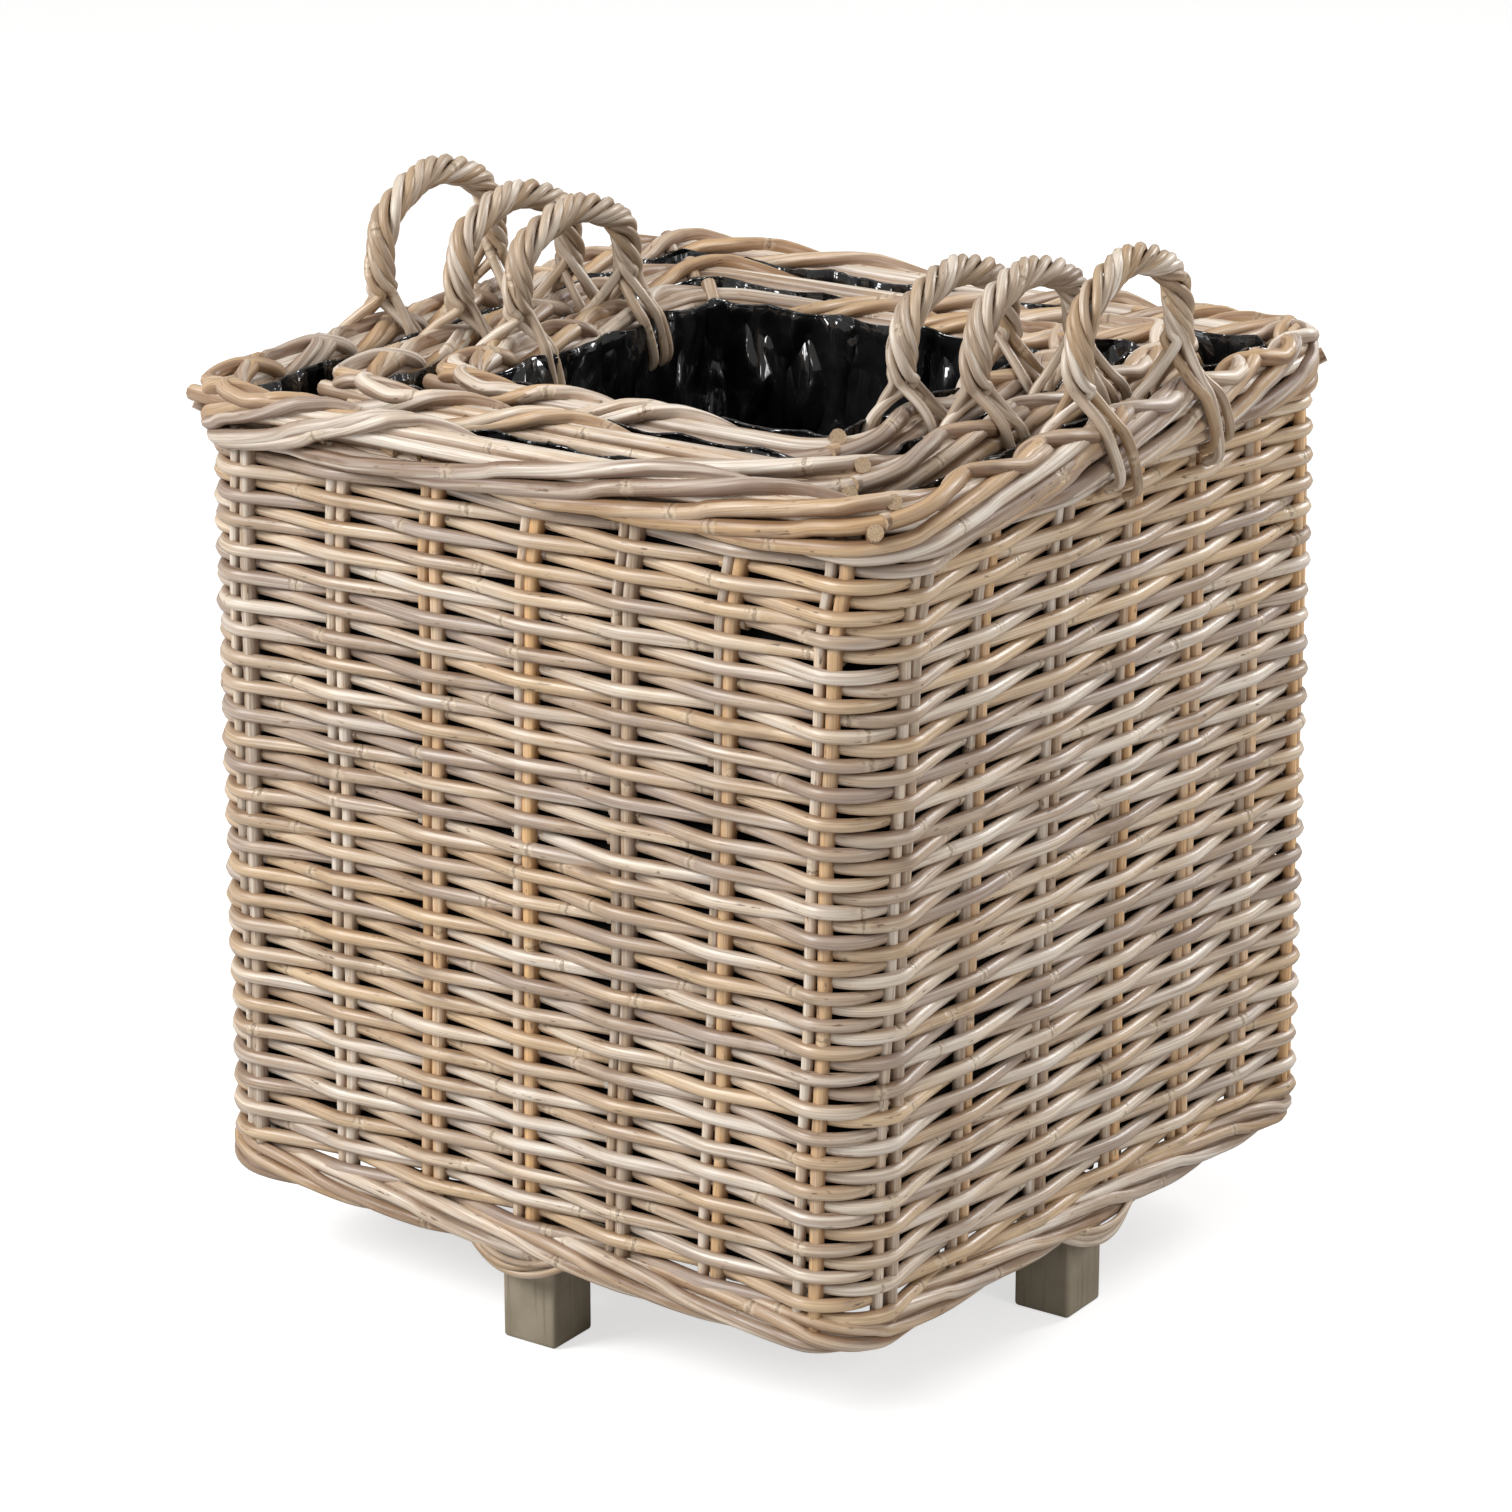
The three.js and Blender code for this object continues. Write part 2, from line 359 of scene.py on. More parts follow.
GREY_CANE = (0.44, 0.345, 0.285, 1)
PALE_CANE = (0.82, 0.745, 0.65, 1)
HONEY_CANE = (0.73, 0.535, 0.325, 1)
STAKE_HONEY = (0.88, 0.55, 0.25, 1)
STAKE_GREY = (0.47, 0.37, 0.28, 1)
BORDER_HONEY = (0.60, 0.40, 0.215, 1)
BORDER_GREY = (0.39, 0.295, 0.235, 1)
ROPE_HONEY = (0.50, 0.345, 0.20, 1)
WEATHERED = (0.27, 0.20, 0.155, 1)
NODE_SCAR = (0.66, 0.54, 0.39, 1)
NODE_LINE = (0.13, 0.075, 0.04, 1)
# Brown of the painted contact shade, which darkens each cane where it touches its neighbours.
PAINTED_CONTACT_SHADE = (0.34, 0.215, 0.135, 1)
NODE_SPACING = 0.27               # from one ring of a cane to the next


def cane_material(name, gloss=0.30, depth=1.0, honey=HONEY_CANE, grey_skin=GREY_CANE,
                  painted_contact_shade_side=2):
    """Natural rattan: fine fibres along the cane, blotches of grey and honey, a pale scar and a
    dark line at each node, dark flecks, a satin skin, and brown painted shade where canes touch,
    which is on the sides that the fibre coordinate picked by the last argument points to."""
    n = Nodes(name)
    fibre = n.attribute("fibre")
    tone, shade, seed = n.split(n.attribute("look"))
    place = n.vector("ADD", fibre, n.vector("MULTIPLY", n.attribute("look"), (7.3, 3.1, 1.7)))
    long_fibres = n.vector("MULTIPLY", place, (14.0, 900.0, 900.0))
    streaks = n.noise(long_fibres, 1.0, 3.0, 0.6)
    wide_streaks = n.noise(n.vector("MULTIPLY", place, (7.0, 260.0, 260.0)), 1.0, 2.0)
    blotches = n.noise(n.vector("MULTIPLY", place, (16.0, 60.0, 60.0)), 1.0, 3.0, 0.6)
    golden = n.math("ADD", tone, n.ramp(blotches, 0.3, 0.7, -0.28, 0.28), clamp=True)
    pale = n.math("ADD", shade, n.ramp(wide_streaks, 0.3, 0.7, -0.35, 0.35))
    grey = n.mix(n.ramp(pale, 0.1, 0.95), grey_skin, PALE_CANE)
    colour = n.mix(n.math("MULTIPLY", golden, 0.9), grey, honey)
    worn = n.ramp(shade, 0.9, 0.1, 0.15, 0.7)
    weathered = n.math("MULTIPLY", n.ramp(blotches, 0.52, 0.75), worn)
    colour = n.mix(weathered, colour, WEATHERED)
    fibre_tint = n.mix(n.ramp(streaks, 0.25, 0.7), (0.58, 0.50, 0.43, 1), (1, 1, 1, 1))
    colour = n.mix(0.8, colour, fibre_tint, "MULTIPLY")
    along = n.split(fibre)[0]
    wave = n.math("FRACT", n.math("ADD", n.math("DIVIDE", along, NODE_SPACING), seed))
    from_node = n.math("MULTIPLY", n.math("ABSOLUTE", n.math("SUBTRACT", wave, 0.5)), NODE_SPACING)
    ragged = n.math("ADD", from_node, n.ramp(n.noise(place, 240.0), 0.3, 0.7, -0.0012, 0.0012))
    scar = n.ramp(ragged, 0.0062, 0.0030)
    line = n.ramp(ragged, 0.0012, 0.0003)
    colour = n.mix(n.math("MULTIPLY", scar, 0.4), colour, NODE_SCAR)
    colour = n.mix(n.math("MULTIPLY", line, 0.45), colour, NODE_LINE)
    flecks = n.noise(n.vector("MULTIPLY", place, (90.0, 420.0, 420.0)), 1.0, 2.0)
    spots = n.math("MULTIPLY", n.ramp(flecks, 0.64, 0.73), n.ramp(blotches, 0.46, 0.56))
    colour = n.mix(n.math("MULTIPLY", spots, 0.8), colour, NODE_LINE)
    # Painted shade: each cane is darkened to brown on the sides where it touches its neighbours,
    # in place of the shadow there.
    touching = n.math("ABSOLUTE", n.split(fibre)[painted_contact_shade_side])
    touching = n.math("ADD", touching, n.ramp(blotches, 0.3, 0.7, -0.0006, 0.0006))
    painted_contact_shade = n.math("MULTIPLY", n.ramp(touching, 0.0028, 0.0056), 0.82)
    colour = n.mix(painted_contact_shade, colour, n.mix(0.8, colour, PAINTED_CONTACT_SHADE, "MULTIPLY"))
    roughness = n.ramp(streaks, 0.2, 0.8, gloss + 0.14, gloss)
    roughness = n.math("ADD", roughness, n.math("MULTIPLY", weathered, 0.2))
    relief = n.math("MULTIPLY", streaks, 0.35)
    relief = n.math("ADD", relief, n.math("MULTIPLY", wide_streaks, 0.6))
    ring_relief = n.math("SUBTRACT", n.math("MULTIPLY", scar, 1.4), n.math("MULTIPLY", line, 2.0))
    relief = n.math("ADD", relief, ring_relief)
    return n.finish(colour, roughness, n.bump(relief, 0.5 * depth, 0.0007))


def cut_end_material():
    """The pith at a cane's cut end: pale brown, open-pored, with broad greyer patches."""
    n = Nodes("cut_cane")
    place = n.position()
    pores = n.noise(place, 1400.0, 2.0, 0.6)
    broad = n.noise(place, 160.0, 2.0)
    colour = n.mix(n.ramp(pores, 0.35, 0.65), (0.30, 0.19, 0.10, 1), (0.60, 0.44, 0.27, 1))
    colour = n.mix(n.ramp(broad, 0.3, 0.7, 0.0, 0.4), colour, (0.42, 0.34, 0.26, 1))
    return n.finish(colour, n.ramp(pores, 0.3, 0.7, 0.85, 0.7), n.bump(pores, 0.6, 0.0006))


def film_material():
    """Thin black plastic film: glossy, with fine crinkles and dust."""
    n = Nodes("black_film")
    place = n.position()
    folds = n.noise(n.vector("MULTIPLY", place, (15.0, 15.0, 8.0)), 1.0, 1.0, 0.5)
    folds = n.math("ABSOLUTE", n.math("SUBTRACT", folds, 0.5))
    crinkles = n.noise(n.vector("MULTIPLY", place, (38.0, 38.0, 20.0)), 1.0, 1.0, 0.5)
    crinkles = n.math("ABSOLUTE", n.math("SUBTRACT", crinkles, 0.5))
    dust = n.ramp(n.noise(place, 35.0, 5.0, 0.65), 0.45, 0.8)
    dusty = n.math("MULTIPLY", dust, 0.25)
    colour = n.mix(dusty, (0.0095, 0.0097, 0.0105, 1), (0.06, 0.06, 0.062, 1))
    n.shader.inputs["Specular IOR Level"].default_value = 0.9
    normal = n.bump(folds, 1.0, 0.13, n.bump(crinkles, 1.0, 0.024))
    return n.finish(colour, n.ramp(dust, 0.0, 1.0, 0.10, 0.24), normal)


def film_back_material():
    """The film's outer face, where it shows between the canes: a rough, weakly reflective copy
    of the film, coloured darker than its inner face as painted shade.
    """
    n = Nodes("dull_black_film")
    cloud = n.noise(n.position(), 60.0, 3.0)
    n.shader.inputs["Specular IOR Level"].default_value = 0.15
    # Painted shade: near black, darker than the film's inner face.
    colour = n.mix(cloud, (0.003, 0.003, 0.003, 1), (0.009, 0.008, 0.007, 1))
    return n.finish(colour, n.ramp(cloud, 0.3, 0.7, 0.75, 0.9), n.bump(cloud, 0.2, 0.002))


def paint_material():
    """Taupe paint on wood, with the grain and brush marks showing through and worn, paler patches.
    """
    n = Nodes("taupe_paint")
    place = n.position()
    grain = n.noise(n.vector("MULTIPLY", place, (300.0, 300.0, 14.0)), 1.0, 3.0, 0.6)
    cloud = n.noise(place, 26.0, 3.0)
    scuff = n.noise(place, 120.0, 4.0, 0.7)
    colour = n.mix(n.ramp(cloud, 0.3, 0.7), (0.245, 0.203, 0.140, 1), (0.320, 0.270, 0.195, 1))
    in_grain = n.math("MULTIPLY", n.ramp(grain, 0.55, 0.75), 0.45)
    colour = n.mix(in_grain, colour, (0.13, 0.10, 0.07, 1))
    worn = n.math("MULTIPLY", n.ramp(scuff, 0.66, 0.76), 0.6)
    colour = n.mix(worn, colour, (0.40, 0.32, 0.22, 1))
    relief = n.bump(n.math("ADD", grain, scuff), 0.35, 0.0006)
    return n.finish(colour, n.ramp(grain, 0.3, 0.7, 0.55, 0.7), relief)


def bar_material():
    """Sawn, unpainted timber, dark with age."""
    n = Nodes("sawn_timber")
    place = n.position()
    grain = n.noise(n.vector("MULTIPLY", place, (18.0, 18.0, 260.0)), 1.0, 4.0, 0.6)
    saw = n.noise(n.vector("MULTIPLY", place, (240.0, 240.0, 9.0)), 1.0, 2.0)
    colour = n.mix(n.ramp(grain, 0.3, 0.7), (0.17, 0.11, 0.065, 1), (0.36, 0.26, 0.165, 1))
    colour = n.mix(n.math("MULTIPLY", n.ramp(saw, 0.5, 0.7), 0.3), colour, (0.10, 0.07, 0.045, 1))
    relief = n.bump(n.math("ADD", grain, saw), 0.5, 0.0008)
    return n.finish(colour, n.ramp(grain, 0.3, 0.7, 0.82, 0.68), relief)


CUT_END = cut_end_material()
WEAVER_CANE = cane_material("weaver_cane")
# Border and stake canes touch their neighbours on their sides, so their painted contact shade goes
# there.
BORDER_CANES = cane_material("border_cane", gloss=0.37, honey=BORDER_HONEY,
                             grey_skin=BORDER_GREY, painted_contact_shade_side=1)
STAKE_CANE = cane_material("stake_cane", gloss=0.42, honey=STAKE_HONEY,
                           grey_skin=STAKE_GREY, painted_contact_shade_side=1)
ROPE_CANE = cane_material("rope_cane", gloss=0.34, honey=ROPE_HONEY, grey_skin=STAKE_GREY)
BASE_CANE = cane_material("base_cane", gloss=0.5, depth=1.4)
FILM = film_material()
FILM_BACK = film_back_material()
PAINT = paint_material()
TIMBER = bar_material()

# ---- the woven wall ----------------------------------------------------------------------------


def pick_tone(rng, golden_share):
    """How golden the next cane is: most are grey-beige, and a share of them honey."""
    if rng.uniform() < golden_share:
        return rng.uniform(0.45, 1.0)
    return rng.uniform(0.0, 0.38)


def weavers(basket):
    """Every row of the wall, from the lowest. A row is several long canes, whose ends meet behind
    a pair of stakes."""
    rng = np.random.default_rng(basket.seed)
    low = basket.border_low + WEAVE_START
    high = basket.wall_high + WEAVE_RISE
    count = round((high - low) / ROW_PITCH)
    pitch = (high - low) / count
    pairs = 4 * basket.stakes
    reach = WALL_THICKNESS / 2 - WEAVER_INSET
    phases = rng.uniform(0, 2 * math.pi, 6)
    rows = []
    for row in range(count):
        first = row % 2 + 2 * int(rng.integers(0, pairs // 2))
        u = first
        canes = []
        mood = rng.uniform(0.12, 0.5)
        while u < first + pairs:
            end = min(u + 2 * int(rng.integers(3, 8)), first + pairs)
            if first + pairs - end < 4:
                end = first + pairs
            steps = np.arange(u * WEAVER_SAMPLES - 2, end * WEAVER_SAMPLES + 3) / WEAVER_SAMPLES
            swing = -np.arcsin(WEAVER_BEND * np.cos(math.pi * (steps - row % 2)))
            swing = swing / math.asin(WEAVER_BEND)
            jitter = np.interp(
                steps, np.arange(u - 1, end + 2), rng.normal(0, 0.0005, end - u + 3))
            s = place_at(basket, steps)
            drift = 0.0011 * np.sin(s * 5.0 + phases[0] + row * 0.11)
            drift += 0.0009 * np.sin(s * 11.0 + phases[1] - row * 0.23)
            drift += 0.0006 * np.sin(s * 23.0 + phases[2] + row * 1.7)
            taper = np.interp(steps, [u, u + 1, end - 1, end], [0.9, 1, 1, 0.88])
            z = low + (row + 0.5) * pitch + drift + rng.normal(0, 0.0003)
            z = np.clip(z, low + 0.003, high - 0.003)
            radius = rng.uniform(*WEAVER_RADII) * taper
            radius = radius * (1 + 0.025 * np.sin(s * 60 + rng.uniform(0, 6)))
            points = on_ring(basket, s, swing * reach + jitter + corner_bow(basket, s), z)
            canes.append(cane(points, radius, (0, 0, 1), pick_tone(rng, mood), rng))
            u = end
        rows.append(canes)
    return rows


def stakes(basket):
    """The upright canes, in pairs of a thin one and a thick one."""
    rng = np.random.default_rng(basket.seed + 1)
    low, high = basket.border_low + 0.012, basket.rim_low + 0.02
    canes = []
    for place in stake_places(basket):
        for side in (-1, 1):
            thick = STAKE_RADII[1] if side > 0 else STAKE_RADII[0]
            radius = thick * rng.uniform(0.93, 1.05)
            honey_share = 0.85 if side > 0 else 0.3
            golden = rng.uniform(0.6, 1.0) if rng.uniform() < honey_share else rng.uniform(0, 0.3)
            z = np.linspace(low, high, 24)
            wander = 0.0012 * np.sin(z * 9 + rng.uniform(0, 6))
            wander += 0.0006 * np.sin(z * 31 + rng.uniform(0, 6))
            s = place + side * PAIR_APART / 2 + wander
            sway = 0.0008 * np.sin(z * 14 + rng.uniform(0, 6))
            out = sway + corner_bow(basket, place) * 1.25
            points = on_ring(basket, s, out, z)
            normal = ring(basket.half, np.array([place]))[1][0]
            canes.append(cane(points, radius, (normal[0], normal[1], 0), golden, rng))
    return canes


# ---- the borders -------------------------------------------------------------------------------


def eased(values, window):
    """Values with their bends rounded off over a window of an odd number of samples."""
    weights = np.hanning(window)
    return np.convolve(np.pad(values, window // 2, "edge"), weights / weights.sum(), "valid")


def wrapped_cane(basket, section, u, turn, sunk, radius, tone, rng, sides=10):
    """A cane that runs along a border and round its section. The section is its middle's distance
    out from the wall, its height, half its width and half its height; turn is the angle round it
    in degrees at each u, from 0 outside to 90 on top, and sunk is how deep the cane lies."""
    angle = np.radians(turn)
    c, q = np.cos(angle), np.sin(angle)
    wide = np.sign(c) * np.abs(c) ** BORDER_SQUARENESS * (section.half_width - radius - sunk)
    tall = np.sign(q) * np.abs(q) ** BORDER_SQUARENESS * (section.half_height - radius - sunk)
    s = place_at(basket, u)
    points = on_ring(basket, s, section.out + wide, section.z + tall)
    _, normals = ring(basket.half, s)
    up = np.stack([normals[:, 0] * c, normals[:, 1] * c, q], -1)
    return cane(points, radius, up, tone, rng, sides)


def all_round(basket):
    """The places of a cane that runs once round the whole basket."""
    return np.linspace(0, 4 * basket.stakes, 30 * basket.stakes)


def top_border(basket):
    """The rolled border. Each pair of stakes sends one heavy cane out under the rim, up its outer
    face, over the top and down inside. On the left and right it sends two thinner ones, which
    climb more steeply, and a short one that humps over them. Plain canes fill the middle."""
    rng = np.random.default_rng(basket.seed + 2)
    section = SimpleNamespace(
        out=basket.rim_half - RIM_WIDTH / 2 - basket.half,
        z=(basket.rim_low + basket.rim_high) / 2,
        half_width=RIM_WIDTH / 2,
        half_height=(basket.rim_high - basket.rim_low) / 2,
    )
    canes = []
    for k in range(4 * basket.stakes):
        steep = k // basket.stakes % 2 == 1
        for twin in range(2 if steep else 1):
            start = k + rng.uniform(-0.08, 0.08) + 0.17 * twin
            u = np.linspace(0, 6.2, 90)
            stops = np.array([-92, -58, -32, -8, 18, 48, 98, 148, 196]) + rng.normal(0, 3, 9)
            turn = np.interp(u, [0, 0.7, 1.6, 2.5, 3.35, 3.95, 4.6, 5.25, 6.2], stops)
            sunk = np.interp(u, [0, 0.75, 1.2, 3.5, 4.2, 4.9, 5.6, 6.2],
                             [0.012, 0.003, 0, 0.001, -0.0030, 0, 0.003, 0.010])
            size = BORDER_CANE * rng.uniform(0.92, 1.08)
            size = size * np.interp(u, [0, 1.0, 6.2], [0.7, 1, 0.92])
            if steep:
                u = u * 0.6
                size = size * 0.9
            tone = pick_tone(rng, 0.55)
            canes.append(
                wrapped_cane(basket, section, start + u, eased(turn, 13), sunk, size, tone, rng))
        if steep:
            u = np.linspace(0, 1.45, 40)
            turn = np.interp(u, [0, 0.2, 0.5, 0.85, 1.15, 1.45], [178, 128, 70, 44, 62, 96])
            sunk = np.interp(u, [0, 0.2, 0.5, 1.0, 1.25, 1.45],
                             [0.010, 0.0, -0.0040, -0.0035, 0.001, 0.010])
            size = BORDER_CANE * rng.uniform(0.88, 1.0)
            start = k + 0.35 + rng.uniform(-0.1, 0.1)
            tone = pick_tone(rng, 0.35)
            canes.append(
                wrapped_cane(basket, section, start + u, eased(turn, 9), sunk, size, tone, rng))
    u = all_round(basket)
    for angle in (-70, 20, 68, 90, 112, 150, 185, 220):
        turn = angle + 5 * np.sin(u * 1.3 + angle)
        tone = rng.uniform(0, 0.5)
        canes.append(wrapped_cane(basket, section, u, turn, 0.0062, 0.0056, tone, rng, 8))
    return canes


def corner_stubs(basket):
    """Two canes of the border end at each corner, with their cut ends facing out of it. One lies
    near the top of the border, and the other in its outer face."""
    rng = np.random.default_rng(basket.seed + 9)
    corner_radius = CORNER_RADIUS + basket.rim_half - basket.half
    reach = (basket.rim_half - corner_radius) * math.sqrt(2) + corner_radius
    near_top = SimpleNamespace(inset=0.0115, drop=0.0035, swing=0.05, length=0.018)
    in_face = SimpleNamespace(inset=-0.0020, drop=0.0190, swing=-0.10, length=0.024)
    t = np.linspace(0, 1, 6)
    canes = []
    for turn in range(4):
        for stub in (near_top, in_face):
            a = math.radians(turn * 90 - 45) + stub.swing / 4
            out = np.array([math.cos(a + stub.swing), math.sin(a + stub.swing)])
            end = np.array([math.cos(a), math.sin(a)]) * (reach - stub.inset)
            points = np.zeros((6, 3))
            points[:, :2] = end - out * stub.length * (1 - t)[:, None]
            points[:, 2] = basket.rim_high - stub.drop - 0.012 * (1 - t)
            tone = pick_tone(rng, 0.7)
            canes.append(cane(points, BORDER_CANE * 0.9, (0, 0, 1), tone, rng, 12))
    return canes


def corner_pegs(basket):
    """One cane of each side's border starts with a cut end that stands out past the corner."""
    rng = np.random.default_rng(basket.seed + 3)
    canes = []
    for turn in range(4):
        a = turn * math.pi / 2
        along = np.array([math.cos(a), math.sin(a), 0])
        out = np.array([math.sin(a), -math.cos(a), 0])
        reach = basket.rim_half - (0.006 if turn == 0 else 0.017)
        t = np.linspace(0, 0.15, 14)
        depth = basket.rim_half - 0.0115 - np.interp(t, [0, 0.05, 0.15], [0.012, 0.002, 0.009])
        z = basket.rim_high - np.interp(t, [0, 0.15], [0.015, 0.012]) + rng.uniform(-0.002, 0.002)
        points = along * (t - reach)[:, None] + out * depth[:, None]
        points[:, 2] = z
        canes.append(cane(points, BORDER_CANE * 0.95, (0, 0, 1), pick_tone(rng, 0.6), rng, 10))
    return canes


def bottom_border(basket):
    """Heavier canes that run along under the last row and cross each other at a slant, round
    plain canes that fill their middle."""
    rng = np.random.default_rng(basket.seed + 4)
    section = SimpleNamespace(
        out=(basket.border_half - basket.half - WALL_THICKNESS / 2) / 2,
        z=basket.border_low + 0.0120,
        half_width=0.0130,
        half_height=0.0155,
    )
    canes = []
    for k in range(4 * basket.stakes):
        start = k + rng.uniform(-0.15, 0.15)
        u = np.linspace(0, 4.6, 60)
        stops = np.array([125, 72, 36, -4, -48, -100, -165]) + rng.normal(0, 5, 7)
        turn = np.interp(u, [0, 0.5, 1.1, 1.9, 2.7, 3.6, 4.6], stops)
        sunk = np.interp(u, [0, 0.5, 1.0, 3.0, 3.6, 4.6], [0.008, 0.002, 0, -0.001, 0.001, 0.006])
        size = FOOT_BORDER_CANE * rng.uniform(0.88, 1.1)
        tone = pick_tone(rng, 0.3)
        canes.append(
            wrapped_cane(basket, section, start + u, eased(turn, 9), sunk, size, tone, rng, 8))
    u = all_round(basket)
    for angle in (-90, 0, 55, 90, 125, 180):
        turn = np.full(len(u), angle, float)
        canes.append(wrapped_cane(basket, section, u, turn, 0.005, FOOT_BORDER_CANE, 0.1, rng, 6))
    return canes


def foot_bindings(basket):
    """Thin canes that leave the bottom border, loop round the top of each foot and go back in."""
    rng = np.random.default_rng(basket.seed + 5)
    foot_turn = STAKE_TWIST + NECK_TWIST
    side_length = ring_length(basket.half) / 4
    canes = []
    for turn, side in enumerate(("front", "right", "back", "left")):
        low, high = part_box(f"{basket.name}_foot_{side}")
        centre = (low + high) / 2
        shift = {"front": centre.x, "right": centre.y, "back": -centre.x, "left": -centre.y}[side]
        for k in range(3):
            t = np.linspace(0, 1, 40)
            dip = np.sin(math.pi * t) ** 0.8
            centre_s = turn * side_length + shift + foot_turn * basket.half
            s = centre_s - rng.uniform(0.040, 0.052) + rng.uniform(0.088, 0.104) * t
            z = basket.border_low + 0.009 - (0.012 + 0.0045 * k) * dip + 0.003 * t
            out = 0.003 + (0.0125 - 0.0008 * k) * dip
            points = on_ring(basket, s, out, z)
            radius = rng.uniform(0.0024, 0.0030)
            canes.append(cane(points, radius, (0, 0, 1), pick_tone(rng, 0.3), rng, 8))
    return canes


# ---- the rope handles --------------------------------------------------------------------------


def smooth_path(stops, count):
    """Evenly spaced points on a smooth curve through the stops."""
    stops = np.asarray(stops, float)
    n = len(stops)
    padded = np.vstack([2 * stops[0] - stops[1], stops, 2 * stops[-1] - stops[-2]])
    fine = []
    for i in range(n - 1):
        p0, p1, p2, p3 = padded[i : i + 4]
        t = np.linspace(0, 1, 40, endpoint=i == n - 2)[:, None]
        fine.append(0.5 * (2 * p1 + (p2 - p0) * t + (2 * p0 - 5 * p1 + 4 * p2 - p3) * t**2
                           + (3 * p1 - p0 - 3 * p2 + p3) * t**3))
    fine = np.vstack(fine)
    length = np.concatenate([[0], np.cumsum(np.linalg.norm(np.diff(fine, axis=0), axis=1))])
    even = np.linspace(0, length[-1], count)
    return np.stack([np.interp(even, length, fine[:, i]) for i in range(3)], -1), even


def rope_handle(basket, side):
    """Canes twisted into a rope. At each foot of the loop half of them part to go down outside the
    border, and the others down inside it."""
    direction = 1 if side == "right" else -1
    rng = np.random.default_rng(basket.seed + 6 + direction)
    low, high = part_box(f"{basket.name}_handle_{side}")
    x = (low.x + high.x) / 2
    y = (low.y + high.y) / 2
    span = (high.y - low.y) / 2 - 0.0105
    top = high.z - 0.0105
    base = low.z
    rise = top - base
    stops = [
        (x, y - span * 0.90, base + 0.004),
        (x, y - span * 0.95, base + rise * 0.18),
        (x, y - span, base + rise * 0.42),
        (x, y - span * 0.80, base + rise * 0.80),
        (x, y, top),
        (x, y + span * 0.80, base + rise * 0.80),
        (x, y + span, base + rise * 0.42),
        (x, y + span * 0.95, base + rise * 0.18),
        (x, y + span * 0.90, base + 0.004),
    ]
    line, length = smooth_path(stops, 150)
    along = unit(np.gradient(line, axis=0))
    across = np.array([1.0, 0, 0])
    third = np.cross(along, across)
    canes = []
    for strand in range(ROPE_STRANDS):
        angle = 2 * math.pi * (strand / ROPE_STRANDS - length / ROPE_PITCH)
        angle = angle + 0.3 * np.sin(length * 19 + strand)
        helix = ROPE_HELIX_RADIUS * (1 + 0.06 * np.sin(length * 40 + strand * 2.1))
        rope = line + (helix * np.cos(angle))[:, None] * across
        rope = rope + (helix * np.sin(angle))[:, None] * third
        outside = strand % 2 == 0
        outward = direction if outside else -direction
        face = basket.rim_half + TAIL_OUTSIDE if outside else basket.rim_half - TAIL_INSIDE
        spread = (strand // 2 - 1) * TAIL_SPREAD
        tails = []
        for leg in (rope[6], rope[-7]):
            sweep = direction * (0.030 if outside else -0.020) + rng.uniform(-0.004, 0.004)
            edge = (direction * face, leg[1] + sweep * 0.45 + spread, basket.rim_high - 0.012)
            foot = (direction * (face - 0.001 if outside else face + 0.002),
                    leg[1] + sweep + spread, basket.rim_low + rng.uniform(-0.004, 0.014))
            tucked = (foot[0] - outward * 0.012, foot[1] + sweep * 0.12, foot[2] - 0.010)
            shoulder = (leg[0] * 0.35 + direction * face * 0.65,
                        leg[1] + sweep * 0.18 + spread * 0.6, basket.rim_high + 0.0035)
            tails.append([tucked, foot, edge, shoulder])
        path = tails[0] + list(rope[9:-9:4]) + tails[1][::-1]
        points, _ = smooth_path(path, 210)
        radius = ROPE_STRAND_RADIUS * rng.uniform(0.92, 1.08)
        tone = pick_tone(rng, 0.45)
        canes.append(cane(points, radius, (1, 0.02, 0.013), tone, rng, 8))
    return canes


# ---- the woven base ----------------------------------------------------------------------------


def base_weave(basket):
    """The base: flat-laid canes over and under a few thick sticks."""
    rng = np.random.default_rng(basket.seed + 8)
    low, high = basket.panel
    z = (low.z + high.z) / 2
    half = high.x - 0.004
    inner_radius = CORNER_RADIUS - WALL_THICKNESS / 2
    sticks = basket.stakes + 1
    stick_x = (np.arange(sticks) - (sticks - 1) / 2) * (2 * half / sticks)
    canes = []
    for x in stick_x:
        for shift in (-0.0045, 0.0045):
            y = np.linspace(-half, half, 12)
            bent = x + shift + 0.001 * np.sin(y * 20)
            points = twisted(basket, np.stack([bent, y, np.full(12, z)], -1))
            canes.append(cane(points, 0.0042, (0, 0, 1), rng.uniform(0, 0.4), rng, 6))
    rows = int(2 * half / 0.0085)
    for row in range(rows):
        y = -half + (row + 0.5) * 2 * half / rows
        corner = max(abs(y) - (half - inner_radius), 0)
        reach = half - inner_radius + math.sqrt(max(inner_radius**2 - corner**2, 0.000001))
        x = np.arange(-reach, reach, 0.011)
        swing = np.cos(math.pi * (x - stick_x[0]) / (stick_x[1] - stick_x[0]))
        swing = swing * (1 if row % 2 else -1)
        bent = y + 0.0006 * np.sin(x * 30 + row)
        points = twisted(basket, np.stack([x, bent, z + 0.0036 * swing], -1))
        radius = rng.uniform(0.0033, 0.0037)
        canes.append(cane(points, radius, (0, 0, 1), pick_tone(rng, 0.25), rng, 6))
    return canes


# ---- the liner ---------------------------------------------------------------------------------


